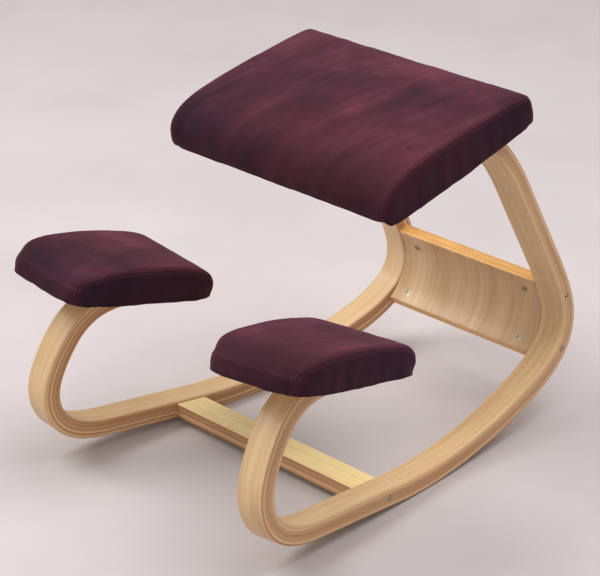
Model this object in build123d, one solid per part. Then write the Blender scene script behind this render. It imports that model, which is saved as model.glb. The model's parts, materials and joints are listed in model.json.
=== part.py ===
from build123d import *
import math
import os

os.makedirs("parts", exist_ok=True)

# ---------------------------------------------------------------- dimensions (mm)
# Row frame: +X to the right as seen from the front, +Y to the rear, +Z up, floor at Z = 0.
RUNNER_W = 45.0          # width of a laminated runner, across the lamination
RUNNER_T = 28.0          # thickness of the lamination
EDGE_R = 3.5             # rounding of the runner's long edges
TOE_DEG = 4.79           # each runner turns in towards the rear
LEAN_DEG = 2.73          # each runner leans in towards the top
HALF_GAUGE = 226.5       # runner mid-plane from the centre line, at the front loop
Y_SHIFT = -359.64        # moves the front loop so that the origin lies under the middle
Z_SHIFT = 57.15          # raises the rockers' lowest edge to the floor

# Centreline of a runner in its own plane: start point, start heading, then
# (radius, turn) arcs and (None, length) straights. Every bend turns the same way.
PATH_START = (229.3, 167.8)
PATH_HEADING = 166.9
PATH = [
    (None, 50.0),                                    # front arm, carries a knee pad
    (200.0, 13.6), (151.5, 9.08), (95.1, 41.01),      # arch
    (205.0, 18.56), (105.9, 9.74), (73.55, 68.32),    # front loop
    (107.9, 16.62), (236.8, 10.50),
    (None, 180.6), (589.8, 7.81), (837.3, 17.25),     # rocker
    (208.6, 18.40), (71.06, 57.89),                   # rear bend
    (100.4, 11.41), (188.4, 6.69), (537.3, 5.79),
    (None, 171.0), (313.8, 13.44),                    # upright
    (75.0, 60.5), (None, 130.0),                      # top bend and seat arm
]

# Crossbar between the rockers, ahead of the rolling point
BAR_V, BAR_Z = 265.0, -37.3
BAR_D, BAR_H = 54.0, 22.0
BAR_SLOPE = -5.7

# Moulded panel between the rear bends
PANEL_CV, PANEL_CZ = 616.0, 95.5      # centre of its curve, in the runner's plane
PANEL_R, PANEL_T = 80.8, 18.0
PANEL_A0, PANEL_A1 = -51.0, 37.0
PANEL_BOLT_A = (-36.7, 19.2)

# Fasteners
M6_R = 3.0
M6_CLEAR_R = 3.3
HEAD_R, HEAD_H = 5.0, 5.0
NUT_R, NUT_L = 5.0, 14.0
NUT_IN = 28.0                          # barrel nut from the butt face
DOWEL_R, DOWEL_L = 4.0, 40.0

# Seat
SEAT_SLOPE = 13.5
SEAT_W, SEAT_L, SEAT_H = 438.0, 308.0, 58.0
SEAT_V = 470.0                         # where the seat plane leaves the top bend
BOARD_T = 12.0
COVER_T = 1.5
HEM = 26.0                             # hem turned under the board's ends
SEAT_SIDE_HEM = 17.0

# Knee pads
PAD_W, PAD_L, PAD_H = 170.0, 262.0, 56.0
PAD_BOARD_T = 12.0
PAD_END_HEM = 24.0

# ---------------------------------------------------------------- runner frame
toe, lean = math.radians(TOE_DEG), math.radians(LEAN_DEG)
N = Vector(math.cos(toe) * math.cos(lean), math.sin(toe) * math.cos(lean), math.sin(lean))
EV = Vector(-math.sin(toe), math.cos(toe), 0)
EZ = N.cross(EV)
ORIGIN = Vector(HALF_GAUGE, Y_SHIFT, Z_SHIFT)


def runner_point(u, v, z):
    """A point from runner coordinates: u outboard, v to the rear, z up in the plane."""
    return ORIGIN + N * u + EV * v + EZ * z


def runner_plane(u=0.0):
    return Plane(origin=runner_point(u, 0, 0), x_dir=EV, z_dir=N)


def trace():
    """Corner points and headings of the centreline."""
    v, z = PATH_START
    h = PATH_HEADING
    out = [(v, z, h, None)]
    for r, a in PATH:
        if r is None:
            v += a * math.cos(math.radians(h))
            z += a * math.sin(math.radians(h))
            out.append((v, z, h, None))
        else:
            h2 = h + a
            hm = h + a / 2
            cv = v - r * math.sin(math.radians(h))
            cz = z + r * math.cos(math.radians(h))
            mid = (cv + r * math.sin(math.radians(hm)), cz - r * math.cos(math.radians(hm)))
            v = cv + r * math.sin(math.radians(h2))
            z = cz - r * math.cos(math.radians(h2))
            h = h2
            out.append((v, z, h, mid))
    return out


TR = trace()


def offset_chain(d):
    """Edges of the centreline moved d to its outer side, in runner coordinates."""
    edges = []
    for (v0, z0, h0, _), (v1, z1, h1, mid) in zip(TR[:-1], TR[1:]):
        def off(v, z, h):
            return (v + d * math.sin(math.radians(h)), z - d * math.cos(math.radians(h)))
        a, b = off(v0, z0, h0), off(v1, z1, h1)
        if mid is None:
            edges.append(Line(a, b))
        else:
            hm = (h0 + h1) / 2
            edges.append(ThreePointArc(a, off(mid[0], mid[1], hm), b))
    return edges


def mirror_x(shape):
    return mirror(shape, about=Plane.YZ)


def cyl(p, direction, r, length, start=0.0):
    """Cylinder of radius r from p + start * direction, along direction."""
    d = Vector(direction).normalized()
    pl = Plane(origin=Vector(p) + d * start, z_dir=d)
    return extrude(pl * Circle(r), length)


def keep_solid(shape):
    s = shape.solids()
    return s[0] if len(s) == 1 else shape


# ---------------------------------------------------------------- runner body
inner = offset_chain(-RUNNER_T / 2)
outer = offset_chain(RUNNER_T / 2)
start_cap = Line(inner[0] @ 0, outer[0] @ 0)
end_cap = Line(outer[-1] @ 1, inner[-1] @ 1)
profile = make_face(Wire(inner + outer + [start_cap, end_cap]))
blank = extrude(runner_plane(-RUNNER_W / 2) * profile, RUNNER_W)
long_edges = [e for e in blank.edges()
              if abs((e @ 0.5 - ORIGIN).dot(N)) > RUNNER_W / 2 - 0.01]
try:
    rounded = fillet(long_edges, EDGE_R)
    if rounded.is_valid and len(rounded.solids()) == 1:
        blank = rounded
    else:
        print("runner fillet gave a bad solid")
except Exception as ex:
    print("runner fillet failed:", ex)
# a short flat under the balance point, on which the unloaded chair stands still
runner = keep_solid(blank - Pos(0, 0, -50) * Box(2000, 2000, 100))

# ---------------------------------------------------------------- seat frame
tip = TR[-2]                                       # where the seat arm starts
seat_touch = runner_point(0, tip[0] + RUNNER_T / 2 * math.sin(math.radians(tip[2])),
                          tip[1] - RUNNER_T / 2 * math.cos(math.radians(tip[2])))
ss = math.radians(SEAT_SLOPE)
SEAT_B = Vector(0, math.cos(ss), math.sin(ss))       # up the seat, to the rear
SEAT_N = Vector(0, -math.sin(ss), math.cos(ss))      # out of the seat
seat_o = Vector(0, seat_touch.Y, seat_touch.Z) - SEAT_N * 1.15
SEAT_REAR = 100.0                                   # seat edge behind the touching line
seat_c = seat_o + SEAT_B * (SEAT_REAR - SEAT_L / 2)
SEAT_PL = Plane(origin=seat_c, x_dir=(1, 0, 0), z_dir=SEAT_N)

# the arms' tops are planed to the seat board
runner = keep_solid(runner - SEAT_PL * Pos(0, 0, 20) * Box(700, 420, 40))

# ---------------------------------------------------------------- pad frame
p0, p1 = TR[0], TR[1]
arm_h = math.radians(PATH_HEADING)
PAD_B2 = (-math.cos(arm_h), -math.sin(arm_h))        # towards the pad's rear, in (v, z)
PAD_N2 = (math.sin(arm_h), -math.cos(arm_h))         # out of the pad, in (v, z)
PAD_B = EV * PAD_B2[0] + EZ * PAD_B2[1]
PAD_N = EV * PAD_N2[0] + EZ * PAD_N2[1]
arm_start = runner_point(0, p1[0] + PAD_N2[0] * RUNNER_T / 2, p1[1] + PAD_N2[1] * RUNNER_T / 2)
PAD_FRONT = 181.0                                    # pad edge ahead of the arm's start
pad_c = arm_start + PAD_B * (PAD_L / 2 - PAD_FRONT)
PAD_PL = Plane(origin=pad_c, x_dir=N, z_dir=PAD_N)


# ---------------------------------------------------------------- cushions
def cushion(w, l, h, board_t, corner, top_r, hem_x, hem_y):
    """Board, foam and cover about a plane at the board's underside."""
    board = extrude(RectangleRounded(w - 2 * COVER_T, l - 2 * COVER_T, corner - COVER_T), board_t)
    full = extrude(RectangleRounded(w, l, corner), h)
    full = fillet(full.edges().group_by(Axis.Z)[-1], top_r)
    core = extrude(RectangleRounded(w - 2 * COVER_T, l - 2 * COVER_T, corner - COVER_T), h - COVER_T)
    core = fillet(core.edges().group_by(Axis.Z)[-1], top_r - COVER_T)
    foam = core - Pos(0, 0, board_t / 2) * Box(2 * w, 2 * l, board_t)
    hem = Pos(0, 0, -COVER_T) * extrude(RectangleRounded(w, l, corner), COVER_T)
    hem -= Pos(0, 0, -COVER_T) * extrude(RectangleRounded(w - 2 * hem_x, l - 2 * hem_y, corner / 2), COVER_T)
    cover = (full - core) + hem
    return board, foam, cover


seat_board, seat_foam, seat_cover = cushion(SEAT_W, SEAT_L, SEAT_H, BOARD_T, 24.0, 18.0, SEAT_SIDE_HEM, HEM)
pad_board, pad_foam, pad_cover = cushion(PAD_W, PAD_L, PAD_H, PAD_BOARD_T, 34.0, 20.0, HEM, PAD_END_HEM)


# ---------------------------------------------------------------- bolts, washers, T-nuts
def button_bolt(head_r, head_h, length, socket=True):
    """Cap screw with its head below Z = 0 and its shank up +Z."""
    b = Pos(0, 0, -head_h / 2) * Cylinder(head_r, head_h)
    b = fillet(b.edges().group_by(Axis.Z)[0], 0.8)
    b += Pos(0, 0, length / 2) * Cylinder(M6_R, length)
    if socket:
        b -= Pos(0, 0, -head_h) * extrude(RegularPolygon(2.3, 6), 2.6)
    return b


def washer(r, t):
    return extrude(Circle(r) - Circle(M6_CLEAR_R), t)


def t_nut(flange_r, flange_t, barrel_r, barrel_l):
    """Flange on top of Z = 0, barrel down, M6 bore through."""
    n = extrude(Circle(flange_r) - Circle(M6_R), flange_t)
    n += Pos(0, 0, -barrel_l) * extrude(Circle(barrel_r) - Circle(M6_R), barrel_l)
    return n


FLANGE_R, FLANGE_T, TBARREL_R, TBARREL_L = 9.0, 1.4, 4.0, 9.0


def cut_stack(board, foam, spots, board_t):
    """Board holes and the foam's pockets over the T-nut flanges and bolt ends."""
    for a, b in spots:
        board -= Pos(a, b, 0) * Cylinder(TBARREL_R, 4 * board_t)
        board -= Pos(a, b, board_t - FLANGE_T / 2) * Cylinder(FLANGE_R, FLANGE_T)
        foam -= Pos(a, b, board_t) * Cylinder(M6_R + 1.5, 8)
    return board, foam


# spots on the seat board, over the arms
def seat_local(pt):
    return SEAT_PL.to_local_coords(pt)


seat_spots = []
for back in (30.0, 105.0):
    q = runner_point(0, tip[0] + back * math.cos(math.radians(tip[2])),
                     tip[1] + back * math.sin(math.radians(tip[2])))
    s = seat_local(q)
    seat_spots.append((s.X, s.Y))
seat_all = seat_spots + [(-a, b) for a, b in seat_spots]
pad_spots = []
for back in (8.0, 36.0):
    q = arm_start + PAD_B * back
    s = PAD_PL.to_local_coords(q)
    pad_spots.append((s.X, s.Y))

seat_board, seat_foam = cut_stack(seat_board, seat_foam, seat_all, BOARD_T)
pad_board, pad_foam = cut_stack(pad_board, pad_foam, pad_spots, PAD_BOARD_T)

# arm bores, spot faces under the arms, and the screws that hold the cushions down
SPOT_R, SPOT_D = 9.0, 3.0
WASHER_R, WASHER_T = 8.5, 1.5
SEAT_GRIP = RUNNER_T - 1.15 - SPOT_D
PAD_GRIP = RUNNER_T - SPOT_D
seat_bolts, seat_washers, seat_tnuts = [], [], []
for a, b in seat_spots:
    runner -= SEAT_PL * Pos(a, b, -30) * Cylinder(M6_CLEAR_R, 80)
    runner -= SEAT_PL * Pos(a, b, -SEAT_GRIP - 20) * Cylinder(SPOT_R, 40)
    seat_bolts.append(SEAT_PL * Pos(a, b, -SEAT_GRIP - WASHER_T) * button_bolt(5.5, 3.6, SEAT_GRIP + WASHER_T + BOARD_T + 2))
    seat_washers.append(SEAT_PL * Pos(a, b, -SEAT_GRIP - WASHER_T) * washer(WASHER_R, WASHER_T))
    seat_tnuts.append(SEAT_PL * Pos(a, b, BOARD_T - FLANGE_T) * t_nut(FLANGE_R, FLANGE_T, TBARREL_R, TBARREL_L))
pad_bolts, pad_washers, pad_tnuts = [], [], []
for a, b in pad_spots:
    runner -= PAD_PL * Pos(a, b, -30) * Cylinder(M6_CLEAR_R, 80)
    runner -= PAD_PL * Pos(a, b, -PAD_GRIP - 20) * Cylinder(SPOT_R, 40)
    pad_bolts.append(PAD_PL * Pos(a, b, -PAD_GRIP - WASHER_T) * button_bolt(5.5, 3.6, PAD_GRIP + WASHER_T + PAD_BOARD_T + 2))
    pad_washers.append(PAD_PL * Pos(a, b, -PAD_GRIP - WASHER_T) * washer(WASHER_R, WASHER_T))
    pad_tnuts.append(PAD_PL * Pos(a, b, PAD_BOARD_T - FLANGE_T) * t_nut(FLANGE_R, FLANGE_T, TBARREL_R, TBARREL_L))

# ---------------------------------------------------------------- crossbar and rear panel
def between(shape):
    """Trim a long solid to the two runners' inboard faces."""
    cut = runner_plane(-RUNNER_W / 2) * Pos(0, 0, 300) * Box(3000, 3000, 600)
    shape = shape - cut
    return shape - mirror_x(cut)


bar_c = runner_point(-RUNNER_W / 2, BAR_V, BAR_Z)
bs = math.radians(BAR_SLOPE)
BAR_PL = Plane(origin=(0, bar_c.Y, bar_c.Z), x_dir=(1, 0, 0), z_dir=(0, -math.sin(bs), math.cos(bs)))
bar = Box(620, BAR_D, BAR_H)
bar = fillet(bar.edges().filter_by(Axis.X), 2.0)
bar = between(BAR_PL * bar)

def panel_point(r, a_deg, u=-RUNNER_W / 2):
    a = math.radians(a_deg)
    return runner_point(u, PANEL_CV + r * math.cos(a), PANEL_CZ + r * math.sin(a))

pc = runner_point(-RUNNER_W / 2, PANEL_CV, PANEL_CZ)
PANEL_PL = Plane(origin=(-310, pc.Y, pc.Z), x_dir=(0, 1, 0), z_dir=(1, 0, 0))
def pp(r, a_deg):
    return (r * math.cos(math.radians(a_deg)), r * math.sin(math.radians(a_deg)))
ro = PANEL_R + PANEL_T
am = (PANEL_A0 + PANEL_A1) / 2
panel_face = make_face(Wire([
    ThreePointArc(pp(PANEL_R, PANEL_A0), pp(PANEL_R, am), pp(PANEL_R, PANEL_A1)),
    Line(pp(PANEL_R, PANEL_A1), pp(ro, PANEL_A1)),
    ThreePointArc(pp(ro, PANEL_A1), pp(ro, am), pp(ro, PANEL_A0)),
    Line(pp(ro, PANEL_A0), pp(PANEL_R, PANEL_A0))]))
panel = extrude(PANEL_PL * panel_face, 620)
panel = fillet([e for e in panel.edges().filter_by(Axis.X)], 2.0)
panel = between(panel)

# ---------------------------------------------------------------- cross bolts and barrel nuts
COUNTER_D = 6.0                     # heads sit in bores on the runner's outboard face
bar_bolts, bar_nuts, bar_dowels = [], [], []
panel_bolts, panel_nuts = [], []


def cross_joint(center, nut_dir, bolts, nuts, part, run):
    """Bolt through the runner along its normal into a barrel nut in the cross member.
    center is on the runner's inboard face; nut_dir is the barrel's axis."""
    outside = center + N * RUNNER_W
    run = run - cyl(outside, -N, M6_CLEAR_R, RUNNER_W + 2, -1)
    run = run - cyl(outside, -N, HEAD_R + 0.4, COUNTER_D + 1, -1)
    part = part - cyl(center, -N, M6_CLEAR_R, NUT_IN + 12, -3)
    nut_c = center - N * NUT_IN
    part = part - cyl(nut_c, nut_dir, NUT_R + 0.1, 60, -NUT_L / 2)
    head_pl = Plane(origin=outside - N * COUNTER_D, z_dir=-N)
    length = RUNNER_W - COUNTER_D + NUT_IN + 7
    bolts.append(head_pl * button_bolt(HEAD_R, HEAD_H, length))
    nut = cyl(nut_c, nut_dir, NUT_R, NUT_L, -NUT_L / 2)
    nut = nut - cyl(center, -N, M6_R, NUT_IN + 12, -3)
    slot_c = nut_c + Vector(nut_dir).normalized() * (NUT_L / 2)
    nut = nut - Plane(origin=slot_c, x_dir=N, z_dir=nut_dir) * Box(12, 1.4, 2.4)
    nuts.append(nut)
    return part, run


bar_up = Vector(0, -math.sin(bs), math.cos(bs))
bar, runner = cross_joint(bar_c, -bar_up, bar_bolts, bar_nuts, bar, runner)
# one hardwood dowel beside the bolt keeps the bar from turning
bar_y = Vector(0, math.cos(bs), math.sin(bs))
dowel_c = bar_c + bar_y * 16.0
dowel_c = dowel_c - N * ((dowel_c - runner_point(-RUNNER_W / 2, 0, 0)).dot(N))
runner = runner - cyl(dowel_c, N, DOWEL_R, DOWEL_L / 2 + 1)
bar = bar - cyl(dowel_c, -N, DOWEL_R, DOWEL_L / 2 + 1, -1)
dw = cyl(dowel_c, N, DOWEL_R, DOWEL_L, -DOWEL_L / 2)
bar_dowels.append(chamfer(dw.edges().filter_by(GeomType.CIRCLE), 0.8))

for ang in PANEL_BOLT_A:
    c = panel_point(PANEL_R + PANEL_T / 2, ang)
    a = math.radians(ang)
    inward = Vector(0, -math.cos(a), -math.sin(a))       # towards the panel's hollow side
    panel, runner = cross_joint(c, inward, panel_bolts, panel_nuts, panel, runner)

# the same holes in the other end of the bar and the panel
def both_ends(part, tools):
    for t in tools:
        part = part - mirror_x(t)
    return part

tools = [cyl(bar_c, -N, M6_CLEAR_R, NUT_IN + 12, -3),
         cyl(bar_c - N * NUT_IN, -bar_up, NUT_R + 0.1, 60, -NUT_L / 2),
         cyl(dowel_c, -N, DOWEL_R, DOWEL_L / 2 + 1, -1)]
bar = both_ends(bar, tools)
tools = []
for ang in PANEL_BOLT_A:
    c = panel_point(PANEL_R + PANEL_T / 2, ang)
    a = math.radians(ang)
    tools += [cyl(c, -N, M6_CLEAR_R, NUT_IN + 12, -3),
              cyl(c - N * NUT_IN, Vector(0, -math.cos(a), -math.sin(a)), NUT_R + 0.1, 60, -NUT_L / 2)]
panel = both_ends(panel, tools)

# ---------------------------------------------------------------- staples under the hems
def staple():
    s = Pos(0, 0, -0.35) * Box(9.0, 1.0, 0.7)
    for x in (-4.0, 4.0):
        s += Pos(x, 0, 2.5) * Box(1.0, 1.0, 7.0)
    return s


def staple_ring(w, l, nx, ny, inset_x, inset_y):
    out = []
    x, y = w / 2 - inset_x, l / 2 - inset_y
    for i in range(nx):
        a = (i - (nx - 1) / 2) * (w - 110) / (nx - 1)
        out += [Pos(a, y, -COVER_T) * staple(), Pos(a, -y, -COVER_T) * staple()]
    for i in range(ny):
        b = (i - (ny - 1) / 2) * (l - 110) / (ny - 1)
        out += [Pos(x, b, -COVER_T) * Rot(0, 0, 90) * staple(), Pos(-x, b, -COVER_T) * Rot(0, 0, 90) * staple()]
    return out


seat_staples = staple_ring(SEAT_W, SEAT_L, 7, 5, 11.0, 15.0)
pad_staples = staple_ring(PAD_W, PAD_L, 3, 5, 15.0, 15.0)

# ---------------------------------------------------------------- nodes
nodes = {}
runner = keep_solid(runner)
nodes["right_runner"] = runner
nodes["left_runner"] = mirror_x(runner)
nodes["front_crossbar"] = bar
nodes["rear_panel"] = panel


def pair(items):
    return Compound(children=[keep_solid(i) for i in items] + [keep_solid(mirror_x(i)) for i in items])


nodes["crossbar_bolts"] = pair(bar_bolts)
nodes["crossbar_barrel_nuts"] = pair(bar_nuts)
nodes["crossbar_dowels"] = pair(bar_dowels)
nodes["panel_bolts"] = pair(panel_bolts)
nodes["panel_barrel_nuts"] = pair(panel_nuts)
nodes["seat_board"] = SEAT_PL * seat_board
nodes["seat_foam"] = SEAT_PL * seat_foam
nodes["seat_cover"] = SEAT_PL * seat_cover
nodes["seat_t_nuts"] = pair(seat_tnuts)
nodes["seat_bolts"] = pair(seat_bolts)
nodes["seat_washers"] = pair(seat_washers)
nodes["seat_staples"] = Compound(children=[SEAT_PL * s for s in seat_staples])
for side, f in (("right", lambda s: s), ("left", mirror_x)):
    nodes[side + "_pad_board"] = f(PAD_PL * pad_board)
    nodes[side + "_pad_foam"] = f(PAD_PL * pad_foam)
    nodes[side + "_pad_cover"] = f(PAD_PL * pad_cover)
    nodes[side + "_pad_staples"] = Compound(children=[keep_solid(f(PAD_PL * s)) for s in pad_staples])
nodes["pad_t_nuts"] = pair(pad_tnuts)
nodes["pad_bolts"] = pair(pad_bolts)
nodes["pad_washers"] = pair(pad_washers)

lo = [1e9] * 3
hi = [-1e9] * 3
for name, shape in nodes.items():
    bb = shape.bounding_box()
    for i, (a, b) in enumerate(((bb.min.X, bb.max.X), (bb.min.Y, bb.max.Y), (bb.min.Z, bb.max.Z))):
        lo[i] = min(lo[i], a)
        hi[i] = max(hi[i], b)
    export_step(shape, "parts/" + name + ".step")
print("box", [round(x, 2) for x in lo], [round(x, 2) for x in hi], "nodes", len(nodes))
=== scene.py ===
import json
import math
import bpy
import bmesh
import numpy as np
from mathutils import Vector, Matrix, noise
from mathutils.kdtree import KDTree
from mathutils.bvhtree import BVHTree

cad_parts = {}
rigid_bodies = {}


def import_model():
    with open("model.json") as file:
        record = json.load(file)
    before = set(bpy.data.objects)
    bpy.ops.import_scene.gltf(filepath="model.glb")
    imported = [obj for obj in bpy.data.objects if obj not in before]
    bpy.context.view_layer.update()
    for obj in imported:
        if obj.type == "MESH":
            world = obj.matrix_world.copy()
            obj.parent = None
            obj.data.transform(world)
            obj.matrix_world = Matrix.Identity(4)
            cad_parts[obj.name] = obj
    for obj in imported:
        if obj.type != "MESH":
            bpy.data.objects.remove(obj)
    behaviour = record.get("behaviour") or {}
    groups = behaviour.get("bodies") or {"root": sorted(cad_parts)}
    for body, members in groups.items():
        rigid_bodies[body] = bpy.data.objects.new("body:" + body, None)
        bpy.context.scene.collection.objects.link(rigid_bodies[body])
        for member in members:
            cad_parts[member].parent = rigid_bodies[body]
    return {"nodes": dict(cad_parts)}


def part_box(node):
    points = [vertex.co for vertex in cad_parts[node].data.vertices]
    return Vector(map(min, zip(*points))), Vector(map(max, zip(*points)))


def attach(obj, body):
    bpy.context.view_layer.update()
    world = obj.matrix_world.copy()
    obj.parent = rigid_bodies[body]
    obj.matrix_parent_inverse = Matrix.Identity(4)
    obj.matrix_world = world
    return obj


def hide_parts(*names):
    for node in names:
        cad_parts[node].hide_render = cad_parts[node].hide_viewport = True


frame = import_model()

for o in list(bpy.data.objects):
    if o.name in ("Cube", "Light", "Camera"):
        bpy.data.objects.remove(o)
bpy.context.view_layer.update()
scene = bpy.context.scene
MM = 0.001

# ------------------------------------------------------------------ camera
cam_data = bpy.data.cameras.new("camera")
cam = bpy.data.objects.new("camera", cam_data)
scene.collection.objects.link(cam)
scene.camera = cam
cam_data.sensor_width = 36.0
cam_data.lens = 139.776
cam_data.clip_start, cam_data.clip_end = 0.05, 60.0
c_right = (0.7027323, 0.7114515, 0.00201807)
c_up = (-0.29088291, 0.28472705, 0.9134099)
c_back = (0.64927225, -0.64246966, 0.40703598)
c_pos = (2.189373, -2.211739, 1.631912)
cam.matrix_world = Matrix([[c_right[i], c_up[i], c_back[i], c_pos[i]] for i in range(3)] + [[0, 0, 0, 1]])

scene.view_settings.view_transform = "Standard"
scene.view_settings.look = "None"
scene.view_settings.exposure = 0.0

# ------------------------------------------------------------------ the runner's frame and centreline
TOE, LEAN = math.radians(4.79), math.radians(2.73)
N = np.array([math.cos(TOE) * math.cos(LEAN), math.sin(TOE) * math.cos(LEAN), math.sin(LEAN)])
EV = np.array([-math.sin(TOE), math.cos(TOE), 0.0])
EZ = np.cross(N, EV)
ORG = np.array([226.5, -359.64, 57.15]) * MM
W2, T2, ER = 0.0225, 0.014, 0.0035
START, HEAD = (229.3, 167.8), 166.9
PATH = [(None, 50.0), (200.0, 13.6), (151.5, 9.08), (95.1, 41.01), (205.0, 18.56), (105.9, 9.74),
        (73.55, 68.32), (107.9, 16.62), (236.8, 10.50), (None, 180.6), (589.8, 7.81), (837.3, 17.25),
        (208.6, 18.40), (71.06, 57.89), (100.4, 11.41), (188.4, 6.69), (537.3, 5.79), (None, 171.0),
        (313.8, 13.44), (75.0, 60.5), (None, 130.0)]


def trace(step_len=6.0, step_deg=2.2):
    """Centreline samples: v, z, heading (degrees), length so far; and each straight's start."""
    v, z = START
    h, s = HEAD, 0.0
    out = [(v, z, h, 0.0)]
    marks = []
    for r, a in PATH:
        marks.append((v, z, h))
        if r is None:
            n = max(1, int(math.ceil(a / step_len)))
            for i in range(1, n + 1):
                t = a * i / n
                out.append((v + t * math.cos(math.radians(h)), z + t * math.sin(math.radians(h)), h, s + t))
            v, z, s = out[-1][0], out[-1][1], s + a
        else:
            length = r * math.radians(a)
            n = max(2, int(math.ceil(max(a / step_deg, length / (step_len * 1.4)))))
            cv, cz = v - r * math.sin(math.radians(h)), z + r * math.cos(math.radians(h))
            for i in range(1, n + 1):
                hh = h + a * i / n
                out.append((cv + r * math.sin(math.radians(hh)), cz - r * math.cos(math.radians(hh)), hh, s + length * i / n))
            v, z, h, s = out[-1][0], out[-1][1], h + a, s + length
    return np.array(out), marks


def rpt(u, v, z):
    """A point of the +X runner from its own coordinates, in metres."""
    return ORG + N * u + EV * v + EZ * z


CL, MARKS = trace()
CL[:, 0:2] *= MM
CL[:, 3] *= MM
# the source may be trimmed by a hair after this was written, so the frame's own box has the last word
hr = np.radians(CL[:, 2])
probe = np.array([rpt(u, v + d * math.sin(h), z - d * math.cos(h))
                  for (v, z, _, _), h in zip(CL, hr) for u in (-W2, W2) for d in (T2,)])
r_lo, r_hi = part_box("right_runner")
ORG = ORG + np.array([0.0, r_lo[1] - probe[:, 1].min(), 0.0])


# ------------------------------------------------------------------ cushions' own planes, from the boards
def centre(node):
    lo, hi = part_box(node)
    return (np.array(lo) + np.array(hi)) / 2


SL = math.radians(13.5)
SEAT_A = np.array([1.0, 0.0, 0.0])
SEAT_B = np.array([0.0, math.cos(SL), math.sin(SL)])
SEAT_N = np.array([0.0, -math.sin(SL), math.cos(SL)])
SEAT_C = centre("seat_board") - SEAT_N * 0.006
ah = math.radians(HEAD)
PAD_B = EV * -math.cos(ah) + EZ * -math.sin(ah)
PAD_N = EV * math.sin(ah) - EZ * math.cos(ah)
PAD_C = centre("right_pad_board") - PAD_N * 0.006


# ------------------------------------------------------------------ small helpers
def new_object(name, verts, faces, smooth=True):
    me = bpy.data.meshes.new(name)
    me.from_pydata([tuple(v) for v in verts], [], faces)
    me.update()
    ob = bpy.data.objects.new(name, me)
    scene.collection.objects.link(ob)
    if smooth:
        me.polygons.foreach_set("use_smooth", [True] * len(me.polygons))
    return ob


def coords(me):
    co = np.zeros(len(me.vertices) * 3)
    me.vertices.foreach_get("co", co)
    return co.reshape(-1, 3)


def set_coords(me, co):
    me.vertices.foreach_set("co", np.asarray(co, dtype=np.float32).ravel())
    me.update()


def vector_attribute(me, name, data):
    at = me.attributes.get(name) or me.attributes.new(name, "FLOAT_VECTOR", "POINT")
    at.data.foreach_set("vector", np.asarray(data, dtype=np.float32).ravel())


def sharpen(me, degrees):
    """Marks edges sharper than an angle, so smooth shading stops there."""
    bm = bmesh.new()
    bm.from_mesh(me)
    lim = math.radians(degrees)
    for e in bm.edges:
        e.smooth = not (len(e.link_faces) == 2 and e.calc_face_angle(0.0) > lim)
    for f in bm.faces:
        f.smooth = True
    bm.to_mesh(me)
    bm.free()


def smoothstep(a, b, x):
    t = np.clip((x - a) / (b - a), 0, 1)
    return t * t * (3 - 2 * t)


# ------------------------------------------------------------------ materials
def material(name):
    m = bpy.data.materials.new(name)
    m.use_nodes = True
    nt = m.node_tree
    nt.nodes.clear()
    out = nt.nodes.new("ShaderNodeOutputMaterial")
    bsdf = nt.nodes.new("ShaderNodeBsdfPrincipled")
    nt.links.new(bsdf.outputs[0], out.inputs[0])
    return m, nt, bsdf


class Net:
    """Short names for the shader nodes used here."""

    def __init__(self, nt):
        self.nt = nt

    def node(self, kind, **props):
        n = self.nt.nodes.new(kind)
        for k, v in props.items():
            setattr(n, k, v)
        return n

    def put(self, socket, value):
        if isinstance(value, (int, float)):
            socket.default_value = value
        elif isinstance(value, (tuple, list)):
            socket.default_value = tuple(value)
        else:
            self.nt.links.new(value, socket)

    def math(self, op, a, b=None, c=None, clamp=False):
        n = self.node("ShaderNodeMath", operation=op, use_clamp=clamp)
        self.put(n.inputs[0], a)
        if b is not None:
            self.put(n.inputs[1], b)
        if c is not None:
            self.put(n.inputs[2], c)
        return n.outputs[0]

    def vec(self, op, a, b=None):
        n = self.node("ShaderNodeVectorMath", operation=op)
        self.put(n.inputs[0], a)
        if b is not None:
            self.put(n.inputs[1], b)
        return n.outputs[0]

    def combine(self, x, y, z):
        n = self.node("ShaderNodeCombineXYZ")
        for i, v in enumerate((x, y, z)):
            self.put(n.inputs[i], v)
        return n.outputs[0]

    def split(self, v):
        n = self.node("ShaderNodeSeparateXYZ")
        self.put(n.inputs[0], v)
        return n.outputs

    def noise(self, vector, scale=1.0, detail=3.0, rough=0.5, distort=0.0):
        n = self.node("ShaderNodeTexNoise")
        self.put(n.inputs["Vector"], vector)
        n.inputs["Scale"].default_value = scale
        n.inputs["Detail"].default_value = detail
        n.inputs["Roughness"].default_value = rough
        n.inputs["Distortion"].default_value = distort
        return n.outputs[0]

    def ramp(self, fac, stops):
        n = self.node("ShaderNodeValToRGB")
        self.put(n.inputs[0], fac)
        el = n.color_ramp.elements
        while len(el) < len(stops):
            el.new(0.5)
        for e, (p, c) in zip(el, stops):
            e.position = p
            e.color = (c[0], c[1], c[2], 1) if len(c) == 3 else c
        return n.outputs[0]

    def mapr(self, v, a, b, c, d):
        n = self.node("ShaderNodeMapRange")
        self.put(n.inputs[0], v)
        for i, x in enumerate((a, b, c, d)):
            self.put(n.inputs[i + 1], x)
        return n.outputs[0]

    def mix(self, fac, a, b, mode="MIX"):
        n = self.node("ShaderNodeMix", data_type="RGBA", blend_type=mode)
        self.put(n.inputs[0], fac)
        self.put(n.inputs[6], a)
        self.put(n.inputs[7], b)
        return n.outputs[2]

    def bump(self, height, strength, distance):
        n = self.node("ShaderNodeBump")
        n.inputs["Strength"].default_value = strength
        n.inputs["Distance"].default_value = distance
        self.put(n.inputs["Height"], height)
        return n.outputs[0]


def lin(r, g, b):
    """8-bit display colour to linear."""
    def f(c):
        c /= 255.0
        return c / 12.92 if c <= 0.04045 else ((c + 0.055) / 1.055) ** 2.4
    return (f(r), f(g), f(b), 1.0)


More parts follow.
